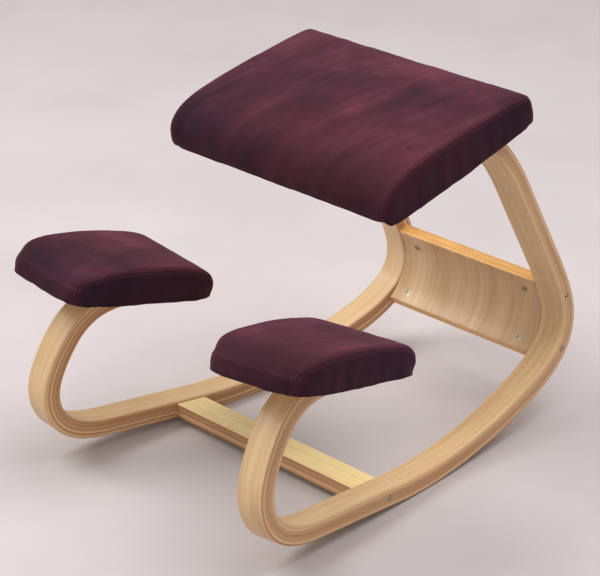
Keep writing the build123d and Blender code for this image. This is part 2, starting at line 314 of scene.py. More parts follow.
def wood(name, coord, plies, pale, mid, dark, line, seed=0.0, streak=1.0, span=(0.42, 1.0), edge=None):
    """Laminated wood. coord(net) gives sockets (s along the grain, d through the plies, u across, side mask)."""
    m, nt, bsdf = material(name)
    k = Net(nt)
    s, d, u, side = coord(k)
    pl, half, step = plies
    d = k.math("MAXIMUM", k.math("MINIMUM", d, half - 0.0003), 0.0003 - half)   # the outer faces belong to the outer plies
    # ply number from the inner face
    p = k.math("DIVIDE", k.math("ADD", d, half), step)
    idx = k.math("FLOOR", p)
    fr = k.math("SUBTRACT", p, idx)
    # each ply gets its own tone
    wn = k.node("ShaderNodeTexWhiteNoise", noise_dimensions="1D")
    k.put(wn.inputs["W"], k.math("ADD", k.math("MULTIPLY", idx, 3.17), 1.3 + seed))
    tone = wn.outputs[0]
    # long fine grain of the faces, running with s
    wob = k.noise(k.combine(k.math("MULTIPLY", s, 1.6), k.math("MULTIPLY", u, 5.0), k.math("MULTIPLY", idx, 2.0)), 1.0, 2.0)
    uu = k.math("ADD", u, k.math("MULTIPLY", k.math("SUBTRACT", wob, 0.5), 0.006))
    g1 = k.noise(k.combine(k.math("MULTIPLY", s, 5.0), k.math("MULTIPLY", uu, 120.0), k.math("MULTIPLY", idx, 7.0)), 1.0, 4.0, 0.6)
    g2 = k.noise(k.combine(k.math("MULTIPLY", s, 26.0), k.math("MULTIPLY", uu, 620.0), k.math("MULTIPLY", d, 900.0)), 1.0, 3.0, 0.65)
    broad = k.noise(k.combine(k.math("MULTIPLY", s, 1.6), k.math("MULTIPLY", uu, 26.0), k.math("ADD", k.math("MULTIPLY", idx, 5.0), seed)), 1.0, 2.0, 0.5)
    # growth figure: slow arches along the veneer
    fig = k.math("SINE", k.math("ADD", k.math("MULTIPLY", uu, 520.0), k.math("MULTIPLY", broad, 11.0)))
    fig = k.math("MULTIPLY", fig, 0.35)
    f = k.math("ADD", k.math("MULTIPLY", g1, 0.55), k.math("MULTIPLY", broad, 0.55 * streak))
    f = k.math("ADD", f, k.math("MULTIPLY", g2, 0.28))
    f = k.math("ADD", f, k.math("MULTIPLY", fig, 0.055 * streak))
    f = k.math("ADD", f, k.math("MULTIPLY", k.math("MULTIPLY", tone, side), 0.62))
    f = k.math("SUBTRACT", f, k.math("MULTIPLY", side, 0.24))
    f = k.mapr(f, *span, 0.0, 1.0)
    col = k.ramp(f, [(0.0, pale), (0.45, mid), (1.0, dark)])
    if edge is not None:
        e0, e1 = edge
        col = k.mix(side, col, k.ramp(f, [(0.0, e0), (1.0, e1)]))
    # glue lines, only between plies, fading out on the outer faces
    gap = k.math("MINIMUM", fr, k.math("SUBTRACT", 1.0, fr))
    jit = k.noise(k.combine(k.math("MULTIPLY", s, 14.0), k.math("MULTIPLY", idx, 3.0), seed), 1.0, 2.0)
    width = k.math("MULTIPLY", k.math("ADD", jit, 0.25), 0.13)
    lines = k.math("SUBTRACT", 1.0, k.math("DIVIDE", gap, width), clamp=True)
    near = k.math("ABSOLUTE", k.math("SUBTRACT", p, pl / 2.0))
    inside = k.math("LESS_THAN", near, pl / 2.0 - 0.25)
    lines = k.math("MULTIPLY", k.math("MULTIPLY", lines, inside), side)
    # one darker joint, where two halves of the lamination meet
    main = k.math("SUBTRACT", 1.0, k.math("DIVIDE", k.math("ABSOLUTE", k.math("SUBTRACT", p, round(pl * 0.42))), 0.2), clamp=True)
    main = k.math("MULTIPLY", k.math("MULTIPLY", main, side), 0.85 if pl > 8.5 and half > 0.012 else 0.0)
    amount = k.math("MULTIPLY", lines, k.math("ADD", k.math("MULTIPLY", tone, 0.55), 0.3))
    amount = k.math("MAXIMUM", amount, main)
    col = k.mix(amount, col, line)
    # a little grime and rubbing, in noise patches over the whole surface
    soil = k.noise(k.combine(k.math("MULTIPLY", s, 11.0), k.math("MULTIPLY", u, 40.0), k.math("MULTIPLY", d, 60.0)), 1.0, 4.0, 0.6)
    soil = k.mapr(soil, 0.5, 0.8, 0.0, 0.16)
    col = k.mix(soil, col, (dark[0] * 0.8, dark[1] * 0.78, dark[2] * 0.75, 1))
    k.put(bsdf.inputs["Base Color"], col)
    k.put(bsdf.inputs["Roughness"], k.mapr(g1, 0.2, 0.8, 0.36, 0.55))
    bsdf.inputs["Specular IOR Level"].default_value = 0.42
    bsdf.inputs["Coat Weight"].default_value = 0.12
    bsdf.inputs["Coat Roughness"].default_value = 0.32
    h = k.math("ADD", k.math("MULTIPLY", g2, 0.5), k.math("MULTIPLY", g1, 0.4))
    h = k.math("SUBTRACT", h, k.math("MULTIPLY", lines, 0.35))
    k.put(bsdf.inputs["Normal"], k.bump(h, 0.22, 0.0004))
    return m


def runner_coord(shift):
    def coord(k):
        at = k.node("ShaderNodeAttribute", attribute_name="wood")
        s, d, u = k.split(at.outputs["Vector"])
        side = k.mapr(k.math("ABSOLUTE", u), 0.0203, 0.0218, 0.0, 1.0)
        return k.math("ADD", s, shift), d, u, side
    return coord


PALE, MID, DARK = lin(224, 197, 156), lin(211, 178, 134), lin(180, 139, 95)
LINE = lin(128, 78, 42)
EDGE = (lin(226, 191, 146), lin(182, 132, 88))
mat_runner_r = wood("runner_wood_right", runner_coord(0.0), (9, T2, 2 * T2 / 9), PALE, MID, DARK, LINE, 0.0, edge=EDGE)
mat_runner_l = wood("runner_wood_left", runner_coord(7.3), (9, T2, 2 * T2 / 9), PALE, MID, DARK, LINE, 5.0, edge=EDGE)


# ------------------------------------------------------------------ runners
def section():
    """Rounded rectangle, (u, d), with extra points so that the flats stay flat."""
    pts = []
    for su, sd, a0 in ((1, -1, -90), (1, 1, 0), (-1, 1, 90), (-1, -1, 180)):
        cu, cd = su * (W2 - ER), sd * (T2 - ER)
        for i in range(6):
            a = math.radians(a0 + 18 * i)
            pts.append((cu + ER * math.cos(a), cd + ER * math.sin(a)))
    out = []
    for i, p in enumerate(pts):
        out.append(p)
        q = pts[(i + 1) % len(pts)]
        L = math.dist(p, q)
        if L > 0.01:
            for t in [0.0006 / L] + [j / 6 for j in range(1, 6)] + [1 - 0.0006 / L]:
                out.append((p[0] + (q[0] - p[0]) * t, p[1] + (q[1] - p[1]) * t))
    return out


def runner_mesh(name):
    sec = section()
    n = len(sec)
    verts, faces = [], []
    rings = [(c, 1.0, 0.0) for c in CL]
    first, last = CL[0], CL[-1]
    rings = [(first, 0.90, -0.0011), (first, 0.965, -0.0007)] + rings[0:] + [(last, 0.965, 0.0007), (last, 0.90, 0.0011)]
    for (v, z, h, s), k, ext in rings:
        hh = math.radians(h)
        v2, z2 = v + ext * math.cos(hh) * 0.6, z + ext * math.sin(hh) * 0.6
        for u, d in sec:
            verts.append(rpt(u * k, v2 + d * k * math.sin(hh), z2 - d * k * math.cos(hh)))
    m = len(rings)
    for i in range(m - 1):
        for j in range(n):
            a, b = i * n + j, i * n + (j + 1) % n
            faces.append((a, b, b + n, a + n))
    faces.append(tuple(reversed(range(n))))
    faces.append(tuple((m - 1) * n + j for j in range(n)))
    ob = new_object(name, verts, faces)
    bm = bmesh.new()
    bm.from_mesh(ob.data)
    bmesh.ops.recalc_face_normals(bm, faces=bm.faces)
    bm.to_mesh(ob.data)
    bm.free()
    # the arm under the seat is planed to the board
    co = coords(ob.data)
    rel = co - SEAT_C
    hgt = rel @ SEAT_N + 0.0016
    back = rel @ SEAT_B
    over = (hgt > 0) & (np.abs(back) < 0.2) & (co[:, 2] > 0.35)
    co[over] -= np.outer(hgt[over], SEAT_N)
    # the short flat under the balance point
    co[:, 2] = np.maximum(co[:, 2], 0.0)
    set_coords(ob.data, co)
    return ob


def wood_attribute(ob, mirror=False):
    co = coords(ob.data)
    if mirror:
        co = co * np.array([-1, 1, 1])
    rel = co - ORG
    u, v, z = rel @ N, rel @ EV, rel @ EZ
    kd = KDTree(len(CL))
    for i, c in enumerate(CL):
        kd.insert((c[0], c[1], 0), i)
    kd.balance()
    out = np.zeros_like(co)
    for i in range(len(co)):
        _, j, _ = kd.find((v[i], z[i], 0))
        cv, cz, h, s = CL[j]
        hh = math.radians(h)
        dv, dz = v[i] - cv, z[i] - cz
        out[i] = (s + dv * math.cos(hh) + dz * math.sin(hh), dv * math.sin(hh) - dz * math.cos(hh), u[i])
    vector_attribute(ob.data, "wood", out)


def cutter(name, centre_pt, axis, radius, depth, out=0.004, seg=40):
    """A closed round cutter from out beyond the surface to depth inside it."""
    ax = np.array(axis) / np.linalg.norm(axis)
    t = np.cross(ax, [0.31, 0.77, 0.55])
    t /= np.linalg.norm(t)
    b = np.cross(ax, t)
    c = np.array(centre_pt)
    prof = [(radius + 0.0005, -out), (radius + 0.0005, 0.0), (radius, 0.0005), (radius, depth)]
    verts, faces = [], []
    for r, k in prof:
        for i in range(seg):
            a = 2 * math.pi * i / seg
            verts.append(c + ax * k + (t * math.cos(a) + b * math.sin(a)) * r)
    for q in range(len(prof) - 1):
        for i in range(seg):
            j = (i + 1) % seg
            faces.append((q * seg + i, q * seg + j, (q + 1) * seg + j, (q + 1) * seg + i))
    faces.append(tuple(range(seg))[::-1])
    faces.append(tuple((len(prof) - 1) * seg + i for i in range(seg)))
    return verts, faces


def panel_pt(r, deg, u=-W2):
    a = math.radians(deg)
    return rpt(u, 0.616 + r * math.cos(a), 0.0955 + r * math.sin(a))


PAN_R, PAN_T = 0.0808, 0.018
bores = []
side_c = [rpt(W2, 0.265, -0.0373)] + [panel_pt(PAN_R + PAN_T / 2, a, W2) for a in (-36.7, 19.2)]
# the crossbar's bolt runs through the middle of its butt face
for c in side_c:
    bores.append((c, -N, 0.0054, 0.006))
tipv, tipz, tiph = MARKS[-1]
hd = math.radians(tiph)
for back in (30.0, 105.0):
    q = rpt(0, (tipv + back * math.cos(hd)) * MM, (tipz + back * math.sin(hd)) * MM)
    q = q - SEAT_N * ((q - SEAT_C) @ SEAT_N)
    bores.append((q - SEAT_N * 0.02785, SEAT_N, 0.009, 0.004))
a0v, a0z, a0h = MARKS[1]
arm0 = rpt(0, (a0v + 14.0 * math.sin(ah)) * MM, (a0z - 14.0 * math.cos(ah)) * MM)
for back in (8.0, 36.0):
    q = arm0 + PAD_B * back * MM
    bores.append((q - PAD_N * 0.028, PAD_N, 0.009, 0.003))

runner = runner_mesh("right_runner_wood")
cv, cf = [], []
for b in bores:
    v_, f_ = cutter("c", *b)
    o_ = len(cv)
    cv += v_
    cf += [tuple(i + o_ for i in f) for f in f_]
cut = new_object("cutters", cv, cf)
bm = bmesh.new()
bm.from_mesh(cut.data)
bmesh.ops.recalc_face_normals(bm, faces=bm.faces)
bm.to_mesh(cut.data)
bm.free()
mod = runner.modifiers.new("bores", "BOOLEAN")
mod.operation, mod.solver, mod.object = "DIFFERENCE", "EXACT", cut
bpy.context.view_layer.update()
baked = bpy.data.meshes.new_from_object(runner.evaluated_get(bpy.context.evaluated_depsgraph_get()))
runner.modifiers.clear()
runner.data = baked
bpy.data.objects.remove(cut)
bm = bmesh.new()                        # weld away the needle faces the cut leaves
bm.from_mesh(runner.data)
bmesh.ops.remove_doubles(bm, verts=bm.verts[:], dist=2e-6)
bmesh.ops.dissolve_degenerate(bm, dist=2e-6, edges=bm.edges[:])
seen, stray = set(), []
bm.faces.ensure_lookup_table()
for face in bm.faces:
    if face.index in seen:
        continue
    seen.add(face.index)
    island, todo = [face], [face]
    while todo:
        for edge in todo.pop().edges:
            if len(edge.link_faces) == 2:
                for other in edge.link_faces:
                    if other.index not in seen:
                        seen.add(other.index)
                        island.append(other)
                        todo.append(other)
    if len(island) < 10 and sum(q.calc_area() for q in island) < 1e-9:
        stray += island
bmesh.ops.delete(bm, geom=stray, context="FACES")
bm.to_mesh(runner.data)
bm.free()
sharpen(runner.data, 40)
wood_attribute(runner)

left = bpy.data.objects.new("left_runner_wood", runner.data.copy())
scene.collection.objects.link(left)
set_coords(left.data, coords(left.data) * np.array([-1, 1, 1]))
left.data.flip_normals()
sharpen(left.data, 40)
for ob, mat, node in ((runner, mat_runner_r, "right_runner"), (left, mat_runner_l, "left_runner")):
    ob.data.materials.clear()
    ob.data.materials.append(mat)
    wn = ob.modifiers.new("flats", "WEIGHTED_NORMAL")
    wn.keep_sharp = True
    wn.weight = 80
    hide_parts(node)
    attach(ob, "root")


# ------------------------------------------------------------------ crossbar, rear panel, boards, dowels
def dot_socket(k, pos, axis, origin):
    n = k.node("ShaderNodeVectorMath", operation="DOT_PRODUCT")
    k.put(n.inputs[0], k.vec("SUBTRACT", pos, tuple(float(x) for x in origin)))
    n.inputs[1].default_value = tuple(float(x) for x in axis)
    return n.outputs["Value"]


def position(k):
    return k.node("ShaderNodeTexCoord").outputs["Object"]


def slab_coord(origin, along, normal, across, half, shift):
    """Flat plywood: grain along, plies stacked on normal; plies show where the surface isn't a face."""
    def coord(k):
        p = position(k)
        s, d, u = (dot_socket(k, p, a, origin) for a in (along, normal, across))
        side = k.mapr(k.math("ABSOLUTE", d), half - 0.0016, half - 0.0006, 1.0, 0.0)
        return k.math("ADD", s, shift), d, u, side
    return coord


bs = math.radians(-5.7)
BAR_Y = np.array([0, math.cos(bs), math.sin(bs)])
BAR_UP = np.array([0, -math.sin(bs), math.cos(bs)])
bar_c = centre("front_crossbar")
mat_bar = wood("crossbar_plywood", slab_coord(bar_c, (1, 0, 0), BAR_UP, BAR_Y, 0.011, 3.1), (7, 0.011, 0.022 / 7),
               lin(246, 228, 170), lin(234, 208, 146), lin(204, 168, 106), LINE, 2.0, 0.8, edge=(lin(214, 172, 130), lin(160, 110, 72)))
X = np.array([1.0, 0, 0])
mat_seat_board = wood("seat_board_plywood", slab_coord(SEAT_C + SEAT_N * 0.006, SEAT_A, SEAT_N, SEAT_B, 0.006, 9.0),
                      (7, 0.006, 0.012 / 7), lin(214, 184, 140), lin(196, 160, 112), lin(160, 120, 78), LINE, 8.0)
board_mats = {}
for side, sg in (("right", 1.0), ("left", -1.0)):
    flip = np.array([sg, 1, 1])
    board_mats[side] = wood(side + "_pad_board_plywood",
                            slab_coord((PAD_C + PAD_N * 0.006) * flip, PAD_B * flip, PAD_N * flip, N * flip, 0.006, 11.0 + sg),
                            (7, 0.006, 0.012 / 7), lin(214, 184, 140), lin(196, 160, 112), lin(160, 120, 78), LINE, 9.0 + sg)
pan_c = rpt(-W2, 0.616, 0.0955)


def panel_coord(k):
    """Curved panel: grain runs round the curve, plies stacked on the radius."""
    x, y, z = k.split(position(k))
    dy, dz = k.math("SUBTRACT", y, float(pan_c[1])), k.math("SUBTRACT", z, float(pan_c[2]))
    r = k.math("SQRT", k.math("ADD", k.math("MULTIPLY", dy, dy), k.math("MULTIPLY", dz, dz)))
    th = k.math("ARCTAN2", dz, dy)
    d = k.math("SUBTRACT", r, PAN_R + PAN_T / 2)
    side = k.mapr(k.math("ABSOLUTE", d), 0.0074, 0.0084, 1.0, 0.0)
    return k.math("ADD", k.math("MULTIPLY", th, 0.09), 2.0), d, x, side


mat_panel = wood("rear_panel_plywood", panel_coord, (8, 0.009, 0.018 / 8),
                 lin(216, 190, 154), lin(198, 164, 124), lin(150, 106, 68), lin(150, 92, 44), 4.0, 1.5, span=(0.55, 1.35),
                 edge=(lin(240, 188, 112), lin(214, 150, 78)))
mat_dowel = wood("dowel_beech", slab_coord(bar_c, (1, 0, 0), BAR_UP, BAR_Y, 1.0, 5.0), (1, 0.02, 0.04),
                 lin(216, 186, 140), lin(200, 166, 118), lin(170, 128, 82), LINE, 12.0)


def metal(name, tint, rough):
    m, nt, bsdf = material(name)
    k = Net(nt)
    p = position(k)
    n = k.noise(p, 900.0, 4.0, 0.6)
    w = k.noise(p, 160.0, 3.0, 0.6)
    k.put(bsdf.inputs["Base Color"], k.mix(k.mapr(w, 0.35, 0.7, 0.0, 1.0), tint, (tint[0] * 0.7, tint[1] * 0.66, tint[2] * 0.5, 1)))
    bsdf.inputs["Metallic"].default_value = 1.0
    k.put(bsdf.inputs["Roughness"], k.mapr(n, 0.3, 0.7, rough - 0.08, rough + 0.12))
    k.put(bsdf.inputs["Normal"], k.bump(n, 0.15, 0.0002))
    return m


mat_zinc = metal("zinc_plated_steel", (0.62, 0.60, 0.50, 1), 0.34)
mat_nut = metal("zinc_barrel", (0.42, 0.39, 0.33, 1), 0.42)


def assign(node, mat):
    ob = frame["nodes"][node]
    ob.data.materials.clear()
    ob.data.materials.append(mat)


assign("front_crossbar", mat_bar)
assign("rear_panel", mat_panel)
assign("seat_board", mat_seat_board)
assign("right_pad_board", board_mats["right"])
assign("left_pad_board", board_mats["left"])
assign("crossbar_dowels", mat_dowel)
for nme in ("crossbar_bolts", "panel_bolts", "seat_t_nuts", "seat_bolts", "seat_washers", "seat_staples",
            "right_pad_staples", "left_pad_staples", "pad_t_nuts", "pad_bolts", "pad_washers"):
    assign(nme, mat_zinc)
for nme in ("crossbar_barrel_nuts", "panel_barrel_nuts"):
    assign(nme, mat_nut)


# ------------------------------------------------------------------ suede
def suede(name, top, side, seed, front):
    m, nt, bsdf = material(name)
    k = Net(nt)
    at = k.node("ShaderNodeAttribute", attribute_name="cloth")   # a, b, c on the cushion
    a, b, c = k.split(at.outputs["Vector"])
    st = k.node("ShaderNodeAttribute", attribute_name="sewn")    # seam distance, side panel, hem distance
    seam, panel, hem = k.split(st.outputs["Vector"])
    p = k.combine(k.math("ADD", a, seed), b, c)
    # the nap lies in patches and in long strokes
    patch = k.noise(p, 7.0, 3.0, 0.55, 0.4)
    stroke = k.noise(k.combine(k.math("SUBTRACT", k.math("MULTIPLY", a, 34.0), k.math("MULTIPLY", b, 9.0)),
                               k.math("ADD", k.math("MULTIPLY", b, 5.0), k.math("MULTIPLY", a, 2.0)),
                               k.math("ADD", k.math("MULTIPLY", c, 5.0), seed)), 1.0, 4.0, 0.6)
    fibre = k.noise(p, 850.0, 3.0, 0.7)
    mott = k.noise(p, 60.0, 4.0, 0.65)
    f = k.math("ADD", k.math("MULTIPLY", patch, 0.85), k.math("MULTIPLY", stroke, 0.5))
    f = k.math("ADD", f, k.math("MULTIPLY", mott, 0.25))
    f = k.math("ADD", f, k.math("MULTIPLY", fibre, 0.2))
    f = k.mapr(f, 0.70, 1.10, 0.0, 1.0)
    t0, t1, t2 = top
    col = k.ramp(f, [(0.0, t0), (0.5, t1), (1.0, t2)])
    # the side panels take a darker ramp: painted shade, as they face away from the light
    shade_dark, shade_pale = side
    shaded_cols = k.ramp(f, [(0.0, shade_dark), (1.0, shade_pale)])
    col = k.mix(panel, col, shaded_cols)
    # towards the front roll the colour moves to the darker side ramp: partly the nap lying the other way, partly
    # painted shade
    col = k.mix(k.mapr(b, front[0], front[1], 0.0, 0.75), col, shaded_cols)
    # fine raised wrinkles, with a painted highlight along them where the nap would catch the light
    wr = k.noise(k.combine(k.math("SUBTRACT", k.math("MULTIPLY", a, 26.0), k.math("MULTIPLY", b, 7.0)),
                           k.math("ADD", k.math("MULTIPLY", b, 4.5), k.math("MULTIPLY", a, 1.5)), seed + 2.0), 1.0, 2.0, 0.55)
    wr = k.math("SUBTRACT", 1.0, k.math("DIVIDE", k.math("ABSOLUTE", k.math("SUBTRACT", wr, 0.5)), 0.009), clamp=True)
    wrm = k.math("MULTIPLY", k.mapr(k.noise(p, 9.0, 2.0), 0.46, 0.62, 0.0, 0.32), k.mapr(b, front[1], front[0], 0.0, 1.0))
    # painted highlight: the wrinkle lines take a lighter colour
    col = k.mix(k.math("MULTIPLY", k.math("MULTIPLY", wr, wrm), k.math("SUBTRACT", 1.0, panel)), col, (t2[0] * 1.5, t2[1] * 1.5, t2[2] * 1.5, 1))
    # red and violet drift of the dye
    hue = k.noise(p, 4.0, 2.0)
    col = k.mix(k.mapr(hue, 0.4, 0.62, 0.0, 0.35), col, lin(66, 25, 33))
    # worn, paler nap beside the seams (real wear), and a darker line in them: painted shade in the seam valley
    worn = k.mapr(seam, 0.003, 0.009, 0.22, 0.0)
    col = k.mix(worn, col, t2)
    seam_shade = k.mapr(seam, 0.0016, 0.0034, 0.55, 0.0)
    col = k.mix(seam_shade, col, (shade_dark[0] * 0.6, shade_dark[1] * 0.6, shade_dark[2] * 0.65, 1))
    # darker towards the hem under the board: painted shade
    col = k.mix(k.mapr(hem, 0.0, 0.004, 0.35, 0.0), col, (shade_dark[0] * 0.6, shade_dark[1] * 0.6, shade_dark[2] * 0.6, 1))
    k.put(bsdf.inputs["Base Color"], col)
    k.put(bsdf.inputs["Roughness"], k.mapr(mott, 0.3, 0.7, 0.8, 0.96))
    bsdf.inputs["Specular IOR Level"].default_value = 0.15
    bsdf.inputs["Sheen Weight"].default_value = 0.22
    bsdf.inputs["Sheen Roughness"].default_value = 0.45
    bsdf.inputs["Sheen Tint"].default_value = lin(190, 120, 150)
    h = k.math("ADD", k.math("MULTIPLY", fibre, 0.5), k.math("MULTIPLY", mott, 0.9))
    h = k.math("ADD", h, k.math("ADD", k.math("MULTIPLY", stroke, 1.2), k.math("MULTIPLY", k.math("MULTIPLY", wr, wrm), 1.6)))
    k.put(bsdf.inputs["Normal"], k.bump(h, 0.35, 0.0012))
    return m


TOP = (lin(38, 15, 25), lin(63, 27, 41), lin(92, 44, 61))
# darker colours for the side panels, the front roll, the seam line and the hem: painted shade
SIDE_SHADE = (lin(25, 12, 23), lin(45, 22, 36))
mat_seat = suede("seat_suede", TOP, SIDE_SHADE, 0.0, (-0.085, -0.135))
mat_pad_r = suede("right_pad_suede", TOP, SIDE_SHADE, 3.7, (-0.070, -0.118))
mat_pad_l = suede("left_pad_suede", TOP, SIDE_SHADE, 8.1, (-0.070, -0.118))


# ------------------------------------------------------------------ cushions
def closed_spline(points, n):
    """Even samples of a closed Catmull-Rom curve through points."""
    P = np.array(points, float)
    m = len(P)
    dense = []
    for i in range(m):
        p0, p1, p2, p3 = P[i - 1], P[i], P[(i + 1) % m], P[(i + 2) % m]
        for t in np.linspace(0, 1, 24, endpoint=False):
            dense.append(0.5 * ((2 * p1) + (-p0 + p2) * t + (2 * p0 - 5 * p1 + 4 * p2 - p3) * t * t
                                + (-p0 + 3 * p1 - 3 * p2 + p3) * t ** 3))
    D = np.array(dense)
    D2 = np.vstack([D, D[:1]])
    L = np.r_[0, np.cumsum(np.linalg.norm(np.diff(D2, axis=0), axis=1))]
    s = np.linspace(0, L[-1], n, endpoint=False)
    return np.c_[np.interp(s, L, D2[:, 0]), np.interp(s, L, D2[:, 1])]


def inset(poly, d):
    """A convex-ish closed outline moved inward by d."""
    t = np.roll(poly, -1, axis=0) - np.roll(poly, 1, axis=0)
    t /= np.linalg.norm(t, axis=1)[:, None]
    nrm = np.c_[-t[:, 1], t[:, 0]]
    area = 0.5 * np.sum(poly[:, 0] * np.roll(poly[:, 1], -1) - np.roll(poly[:, 0], -1) * poly[:, 1])
    return poly + nrm * d * (1 if area > 0 else -1)


def plan_width(b, half_w, outline, corners):
    """Half width at b, with the plan's corners rounded."""
    lo, hi = min(p[0] for p in outline), max(p[0] for p in outline)
    w = half_w
    for end, r in ((lo, corners[0]), (hi, corners[1])):
        t = r - abs(b - end)
        if t > 0:
            w = min(w, half_w - r + math.sqrt(max(r * r - min(t, r) ** 2, 0.0)) * 1.0)
    return max(w, half_w - max(corners))


def cushion_start(half_w, outline, edge_r, corners, n_prof=120, n_w=46):
    """Loft of the side outline across the width, edges rolled at the side panels."""
    prof = closed_spline(outline, n_prof)
    mid = np.array([prof[:, 0].mean(), (prof[:, 1].max() + prof[:, 1].min()) / 2])
    st = []
    for i in range(7):
        a = math.radians(90 * i / 6)
        st.append((half_w - edge_r + edge_r * math.sin(a), edge_r * (1 - math.cos(a))))
    xs = [-x for x, _ in reversed(st)] + list(np.linspace(-(half_w - edge_r), half_w - edge_r, n_w)[1:-1]) + [x for x, _ in st]
    ins = [d for _, d in reversed(st)] + [0.0] * (n_w - 2) + [d for _, d in st]
    verts, faces = [], []
    for x, d in zip(xs, ins):
        keep = 0.16 + 0.84 * smoothstep(0.0, 0.022, prof[:, 1])
        ring = prof + (inset(prof, d) - prof) * keep[:, None]
        for b, c in ring:
            w = plan_width(b, half_w, outline, corners)
            verts.append((x * w / half_w, b, c))
    m, n = len(xs), n_prof
    for i in range(m - 1):
        for j in range(n):
            k = (j + 1) % n
            faces.append((i * n + j, i * n + k, (i + 1) * n + k, (i + 1) * n + j))
    for end, x, base in ((0, xs[0], 0), (1, xs[-1], (m - 1) * n)):
        ring = np.array(verts[base:base + n])
        prev = [base + j for j in range(n)]
        for f in (0.75, 0.5, 0.25):
            cur = []
            for j in range(n):
                q = ring[j].copy()
                q[1] = mid[0] + (q[1] - mid[0]) * f
                q[2] = mid[1] + (q[2] - mid[1]) * f
                q[0] = math.copysign(plan_width(q[1], half_w, outline, corners), x)
                cur.append(len(verts))
                verts.append(tuple(q))
            for j in range(n):
                k = (j + 1) % n
                faces.append((prev[j], prev[k], cur[k], cur[j]) if end else (prev[k], prev[j], cur[j], cur[k]))
            prev = cur
        faces.append(tuple(prev) if end else tuple(reversed(prev)))
    return verts, faces, prof


def seam_lines(prof, half_w, edge_r, b_front_low, side):
    """The seam between the top panel and one side panel: along the outline's upper part and down its front."""
    ring = inset(prof, edge_r * 0.30)
    x = side * (half_w - edge_r * 0.30)
    up = [(b, c) for b, c in ring]
    return np.array([(x, b, c) for b, c in up])


def seam_ridges(name, me, pts, n, origin, A, B, C, half_w, mat):
    """The sewn allowance under the cloth, as a low rounded ridge along each side seam."""
    tree = BVHTree.FromPolygons([tuple(v.co) for v in me.vertices], [tuple(p.vertices) for p in me.polygons])
    for k, tag in ((0, "left"), (1, "right")):
        local = pts[k * n:(k + 1) * n]
        # start at the front hem: the outline runs front to rear, so cut it at the lowest front point
        gap = max(range(n), key=lambda i: np.linalg.norm(local[i] - local[i - 1]))
        local = local[gap:] + local[:gap]
        line, norms = [], []
        for p in local[::3]:
            w = origin + A * p[0] + B * p[1] + C * p[2]
            loc, nn, _, _ = tree.find_nearest(Vector(w))
            line.append(np.array(loc))
            norms.append(np.array(nn))
        line, norms = np.array(line), np.array(norms)
        for _ in range(6):
            line[1:-1] = 0.5 * line[1:-1] + 0.25 * (line[:-2] + line[2:])
            norms[1:-1] = 0.5 * norms[1:-1] + 0.25 * (norms[:-2] + norms[2:])
        norms /= np.linalg.norm(norms, axis=1)[:, None]
        verts, faces, m, seg = [], [], len(line), 10
        L = np.r_[0, np.cumsum(np.linalg.norm(np.diff(line, axis=0), axis=1))]
        for i in range(m):
            t = line[min(i + 1, m - 1)] - line[max(i - 1, 0)]
            t /= np.linalg.norm(t)
            b = np.cross(t, norms[i])
            b /= np.linalg.norm(b)
            nn = np.cross(b, t)
            end = min(1.0, 0.35 + 0.65 * min(i, m - 1 - i) / 3)
            puck = 1 + 0.16 * math.sin(L[i] * 2 * math.pi / 0.0045)
            for j in range(seg):
                a = 2 * math.pi * j / seg
                verts.append(line[i] + (b * math.cos(a) * 0.0017 + nn * (math.sin(a) * 0.0010 * puck + 0.0001)) * end)
        for i in range(m - 1):
            for j in range(seg):
                q = (j + 1) % seg
                faces.append((i * seg + j, i * seg + q, (i + 1) * seg + q, (i + 1) * seg + j))
        faces.append(tuple(reversed(range(seg))))
        faces.append(tuple((m - 1) * seg + j for j in range(seg)))
        ob = new_object(name.replace("cushion", "seam") + ("_inner" if k == 0 else "_outer"), verts, faces)
        bm = bmesh.new()
        bm.from_mesh(ob.data)
        bmesh.ops.recalc_face_normals(bm, faces=bm.faces)
        bm.to_mesh(ob.data)
        bm.free()
        inv = (coords(ob.data) - origin)
        vector_attribute(ob.data, "cloth", np.c_[inv @ A, inv @ B, inv @ C])
        # the ridges take part of the painted-shade side colour, as if they were side panel
        vector_attribute(ob.data, "sewn", np.tile([0.004, 0.4, 1.0], (len(verts), 1)))
        ob.data.materials.append(mat)
        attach(ob, "root")


